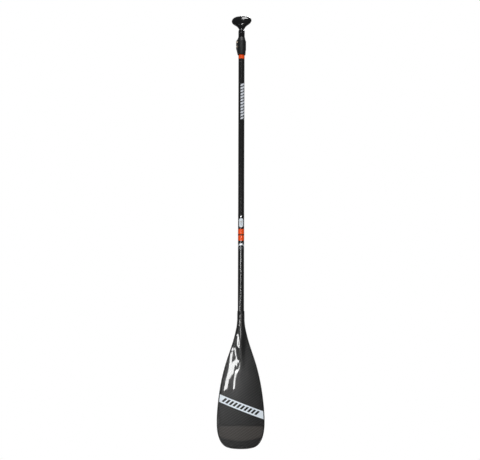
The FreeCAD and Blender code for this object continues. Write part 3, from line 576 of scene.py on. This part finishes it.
def skin_rows(side):
    """A grid of points on one skin. Its rows follow the tip's curve more and more towards the tip."""
    rows, columns = 190, 81
    neck_steps = 24
    tip_start = 0.8 * BLADE_LENGTH
    outline = blade_outline(400)
    slopes = np.diff(outline, axis=0)
    # The corner is where the outline, near the tip, starts to run more inwards than down.
    turned = (outline[:-1, 1] > tip_start) & (-slopes[:, 0] > slopes[:, 1])
    corner = int(np.argmax(turned))
    inner = []
    for i, (width, drop) in enumerate(outline):
        normal = outward(slopes[min(i, len(slopes) - 1)])
        inner.append(np.array([width, drop]) - normal * rail_inset(drop))
    inner = np.array(inner)
    inner[:, 0] = np.maximum(inner[:, 0], 0.0)
    neck = [(section_half(drop), drop) for drop in np.linspace(0.0, inner[0][1], neck_steps)[:-1]]
    edge = np.array([*neck, *inner[:corner + 1]])
    along = np.concatenate([[0.0], np.cumsum(np.linalg.norm(np.diff(edge, axis=0), axis=1))])
    tip = inner[corner:]
    points = []
    for row in range(rows):
        share = row / (rows - 1)
        width = np.interp(share * along[-1], along, edge[:, 0])
        drop = np.interp(share * along[-1], along, edge[:, 1])
        round_share = 1 - eased(drop, *SPREAD)
        for column in range(columns):
            level = 2 * column / (columns - 1) - 1
            across = level * (1 - round_share) + math.sin(level * math.pi / 2) * round_share
            foot = np.interp(-abs(across) * tip[0][0], -tip[:, 0], tip[:, 1])
            down = drop + (foot - tip[0][1]) * share ** 3
            x = across * width
            points.append((x, blade_surface(x, down, side), NECK_TOP - down))
    return points, rows, columns


def make_skin(name, side, material, node):
    points, rows, columns = skin_rows(side)
    faces = grid_faces(rows, columns)
    if side > 0:
        faces = [face[::-1] for face in faces]
    skin = make_piece(name, points, faces, material, "lower_section", "blade_skin", node)
    shell = skin.modifiers.new("thickness", "SOLIDIFY")
    shell.thickness = SKIN
    shell.offset = -1.0
    shell.use_even_offset = False


def make_rail():
    """The rail: a closed section with a round outer edge, swept round the outline from neck to neck."""
    least_width, least_thickness = 0.25 * MM, 0.15 * MM
    greatest_nose, greatest_bevel = 1.5 * MM, 0.35 * MM
    round_steps = 8
    right = blade_outline(260)
    both = [np.array(p) for p in right] + [np.array([-x, drop]) for x, drop in right[-2::-1]]
    count = len(both)
    points = []
    for i, (x, drop) in enumerate(both):
        normal = outward(both[min(i + 1, count - 1)] - both[max(i - 1, 0)])
        width = max(rail_inset(drop), least_width)
        front = blade_surface(x, drop, -1)
        back = blade_surface(x, drop, 1)
        middle = (front + back) / 2
        thick = max((back - front) / 2, least_thickness)
        nose = min(thick, greatest_nose, width * 0.6)

        def at(inward, y):
            px, pd = np.array([x, drop]) - normal * inward
            return (px, y, NECK_TOP - pd)

        def surface(inward, side, sink=0.0):
            px, pd = np.array([x, drop]) - normal * inward
            return (px, blade_surface(px, pd, side) - side * sink, NECK_TOP - pd)

        bevel = min(greatest_bevel, width * 0.2)
        points += [surface(width, -1, bevel), surface(width - bevel, -1)]
        points.append(surface((width + nose) / 2, -1))
        for step in range(round_steps + 1):
            turn = math.pi * step / round_steps
            points.append(at(nose * (1 - math.sin(turn)), middle - thick * math.cos(turn)))
        points.append(surface((width + nose) / 2, 1))
        points += [surface(width - bevel, 1), surface(width, 1, bevel)]
    ring = len(points) // count
    faces = grid_faces(count, ring, wrap=True)
    faces.append(tuple(range(ring))[::-1])
    faces.append(tuple((count - 1) * ring + i for i in range(ring)))
    make_piece("blade_rail", points, faces, rail_plastic(), "lower_section", "rail_plastic", "edge_rail")


# ---------------------------------------------------------------------------------------------
# Grip
# ---------------------------------------------------------------------------------------------
GRIP_TURN = math.radians(-13.0)
CAP_LOW, CAP_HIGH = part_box("grip_cap")
STEM = 13.5 * MM
STEM_HEIGHT = 28 * MM
STEM_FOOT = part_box("clamp_collar")[1].z + 1 * MM
GRIP_ENDS = 85.5 * MM / 2
GRIP_DEPTH = 36 * MM / 2
# Share of the grip's height above its sleeve, share of its half length and of its half depth.
GRIP_LEVELS = [
    (0.00, 0.312, 0.740),
    (0.08, 0.255, 0.600),
    (0.17, 0.320, 0.630),
    (0.29, 0.450, 0.700),
    (0.40, 0.675, 0.810),
    (0.50, 0.870, 0.910),
    (0.60, 0.970, 0.965),
    (0.70, 1.000, 0.990),
    (0.78, 0.970, 0.960),
    (0.86, 0.890, 0.875),
    (0.94, 0.730, 0.710),
    (0.98, 0.540, 0.520),
    (1.00, 0.330, 0.310),
]


def grip_profile():
    """Rings (height, half length, half depth) of the grip, from its sleeve's top to its crown."""
    foot = STEM_FOOT + STEM_HEIGHT
    rise = CAP_HIGH.z - foot
    rings = [
        (foot + level * rise, GRIP_ENDS * wide, GRIP_DEPTH * deep)
        for level, wide, deep in GRIP_LEVELS
    ]
    line = smooth_line(rings, 160)
    return [ring for ring in line if ring[1] > 0 and ring[2] > 0]


def stem_rings():
    """Rings of the grip's sleeve, with softened edges at its foot and its top."""
    top = STEM_FOOT + STEM_HEIGHT
    stem = [
        (STEM_FOOT, STEM - 0.7 * MM),
        (STEM_FOOT + 0.2 * MM, STEM - 0.25 * MM),
        (STEM_FOOT + 0.7 * MM, STEM),
        (top - 1.2 * MM, STEM),
        (top - 0.5 * MM, STEM - 0.12 * MM),
    ]
    return [(height, radius, radius) for height, radius in stem]


def inset(ring, height, depth):
    """The ring at another height, smaller by the depth all round."""
    return height, ring[1] - depth, ring[2] - depth


def lathe(name, rings, material, node, peak_rise):
    """A closed piece through elliptic rings, turned as the grip is, with a flat top or a low peak."""
    columns = 96
    points = []
    for height, wide, deep in rings:
        for column in range(columns):
            turn = 2 * math.pi * column / columns
            x = wide * math.cos(turn)
            y = deep * math.sin(turn)
            points.append((
                x * math.cos(GRIP_TURN) - y * math.sin(GRIP_TURN),
                x * math.sin(GRIP_TURN) + y * math.cos(GRIP_TURN),
                height,
            ))
    faces = grid_faces(len(rings), columns, wrap=True)
    faces.append(tuple(range(columns))[::-1])
    last = (len(rings) - 1) * columns
    if peak_rise:
        points.append((0.0, 0.0, rings[-1][0] + peak_rise))
        peak = len(points) - 1
        faces += [(last + i, last + (i + 1) % columns, peak) for i in range(columns)]
    else:
        faces.append(tuple(last + i for i in range(columns)))
    make_piece(name, points, faces, material, "handle", "grip_plastic", node)


def make_grip():
    """The palm grip and its cover, with a fine groove between them and softened edges."""
    material = grip_plastic()
    profile = grip_profile()
    seam = CAP_LOW.z
    groove = 0.22 * MM
    groove_depth = 0.9 * MM
    soft = 0.35 * MM
    below = stem_rings() + [ring for ring in profile if ring[0] < seam - soft]
    edge = below[-1]
    below.append(inset(edge, seam - groove * 0.6, 0.10 * MM))
    below.append(inset(edge, seam - groove * 0.5, groove_depth))
    lathe("grip_shell", below, material, "grip_body", 0)
    above = [ring for ring in profile if ring[0] > seam + soft]
    foot = [inset(above[0], seam, groove_depth), inset(above[0], seam + 0.05 * MM, 0.12 * MM)]
    lathe("grip_dome", foot + above, material, "grip_cap", 0.2 * MM)


# ---------------------------------------------------------------------------------------------
# The CAD's own pieces
# ---------------------------------------------------------------------------------------------
def dress():
    """Gives each CAD node that keeps its own mesh its material."""
    nylon = black_nylon()
    screw_steel = steel("screw steel", (0.50, 0.42, 0.33))
    foam = pressed_foam()
    film = orange_film()
    finishes = {
        "upper_shaft": wound_carbon("upper tube carbon", graphic=True),
        "lower_shaft": wound_carbon("lower tube carbon"),
        "extension_tube": wound_carbon("extension carbon", scale_marks=True),
        "band_upper": film,
        "band_top": film,
        "band_lower": film,
        "joint_label": label_film(),
        "foot_band": silver_film(),
        "clamp_collar": nylon,
        "clamp_lever": black_nylon("lever nylon", 0.6),
        "neck_collar": black_nylon("collar plastic", 1.15),
        "joint_ring": black_nylon("ring plastic", 0.7),
        "extension_plug": nylon,
        "clamp_shoe": white_acetal(),
        "guide_ring": white_acetal(),
        "clamp_screws": screw_steel,
        "clamp_nuts": screw_steel,
        "lever_pin": steel(),
        "snap_button": steel("button steel", (0.72, 0.73, 0.74)),
        "button_spring": steel("spring steel", (0.50, 0.50, 0.50)),
        "ferrule": ground_glass_tube(),
        "ferrule_plug": foam,
        "float_plug": foam,
        "blade_core": foam,
    }
    for node, material in finishes.items():
        mesh = NODES[node].data
        mesh.materials.clear()
        mesh.materials.append(material)


# ---------------------------------------------------------------------------------------------
# Studio
# ---------------------------------------------------------------------------------------------
CAMERA_PLACE = Vector((-0.0046, -2.62, 0.0186))
CAMERA_LENS = 46.5
CAMERA_ROLL = math.radians(-0.14)
WINDOW_PLANE = -2.60
# Lights that face straight back: name, place, width, height, radiance.
WINDOWS = [
    ("window left", (-0.70, WINDOW_PLANE, -0.20), 0.17, 0.28, 20.0),
    ("window middle", (-0.31, WINDOW_PLANE, -0.26), 0.08, 0.24, 20.0),
    ("window bar", (-0.53, WINDOW_PLANE, -0.20), 0.20, 0.08, 20.0),
    ("low window", (-2.03, WINDOW_PLANE, -0.72), 0.75, 0.17, 20.0),
    ("neck strip", (-0.05, -0.50, -0.42), 0.03, 0.05, 14.0),
    ("near strip", (-0.13, -1.30, -0.20), 0.10, 0.44, 26.0),
]
HIGH_WINDOW = (-0.55, WINDOW_PLANE, 1.68)
GRIP_PLACE = (0.0, 0.0, 0.90)
HAZE_HEIGHT = -0.735
HAZE_COLOUR = (1.0, 0.88, 0.78)


def make_camera():
    data = bpy.data.cameras.new("camera")
    data.lens = CAMERA_LENS
    data.sensor_width = 36.0
    camera = bpy.data.objects.new("camera", data)
    camera.location = CAMERA_PLACE
    camera.rotation_euler = (math.radians(90.0), CAMERA_ROLL, 0.0)
    bpy.context.scene.collection.objects.link(camera)
    bpy.context.scene.camera = camera


def make_light(name, place, target, width, height, radiance, colour=(1.0, 1.0, 1.0)):
    """A softbox that faces the target and looks as bright as its radiance, whatever its size."""
    data = bpy.data.lights.new(name, "AREA")
    data.shape = "RECTANGLE"
    data.size = width
    data.size_y = height
    data.energy = radiance * math.pi * width * height
    data.color = colour
    light = bpy.data.objects.new(name, data)
    light.location = place
    aim = Vector(target) - Vector(place)
    light.rotation_euler = aim.to_track_quat("-Z", "Y").to_euler()
    light.visible_camera = False
    bpy.context.scene.collection.objects.link(light)
    return light


def make_world():
    """White where the camera sees it. What it lights is dim in front of the paddle and paler behind."""
    world = bpy.data.worlds.new("studio")
    bpy.context.scene.world = world
    world.use_nodes = True
    tree = world.node_tree
    ground = tree.nodes["Background"]
    seen = tree.nodes.new("ShaderNodeLightPath").outputs["Is Camera Ray"]
    way = tree.nodes.new("ShaderNodeTexCoord").outputs["Generated"]
    parts = tree.nodes.new("ShaderNodeSeparateXYZ")
    tree.links.new(way, parts.inputs[0])
    turn_start, turn_end, front_light, back_light = -0.1, 0.5, 0.07, 0.30
    behind = tree.nodes.new("ShaderNodeMapRange")
    behind.interpolation_type = "SMOOTHSTEP"
    tree.links.new(parts.outputs["Y"], behind.inputs["Value"])
    behind.inputs["From Min"].default_value = turn_start
    behind.inputs["From Max"].default_value = turn_end
    behind.inputs["To Min"].default_value = front_light
    behind.inputs["To Max"].default_value = back_light
    strength = tree.nodes.new("ShaderNodeMath")
    strength.operation = "MAXIMUM"
    tree.links.new(seen, strength.inputs[0])
    tree.links.new(behind.outputs[0], strength.inputs[1])
    tree.links.new(strength.outputs[0], ground.inputs["Strength"])
    ground.inputs["Color"].default_value = (1.0, 1.0, 1.0, 1.0)


def make_studio():
    make_camera()
    make_world()
    for name, place, width, height, radiance in WINDOWS:
        make_light(name, place, (place[0], 0.0, place[2]), width, height, radiance)
    make_light("high window", HIGH_WINDOW, GRIP_PLACE, 0.14, 0.36, 16.0)
    haze_place = (0.0, WINDOW_PLANE, HAZE_HEIGHT)
    haze = make_light("haze", haze_place, (0.0, 0.0, HAZE_HEIGHT), 2.20, 0.11, 0.6, HAZE_COLOUR)
    haze.data.shape = "ELLIPSE"
    make_light("front fill", (0.0, -5.0, 6.0), (0.0, 0.0, 0.0), 4.0, 2.0, 20.0)
    make_light("rear fill", (1.5, 5.0, 6.0), (0.0, 0.0, 0.0), 4.0, 2.0, 20.0)
    bpy.context.scene.view_settings.view_transform = "Standard"


make_studio()
dress()
make_grip()
make_skin("blade_front", -1, blade_carbon("blade carbon front", stripe=True), "blade_front_skin")
make_skin("blade_rear", 1, blade_carbon("blade carbon rear", stripe=False), "blade_rear_skin")
make_rail()

bpy.context.view_layer.update()
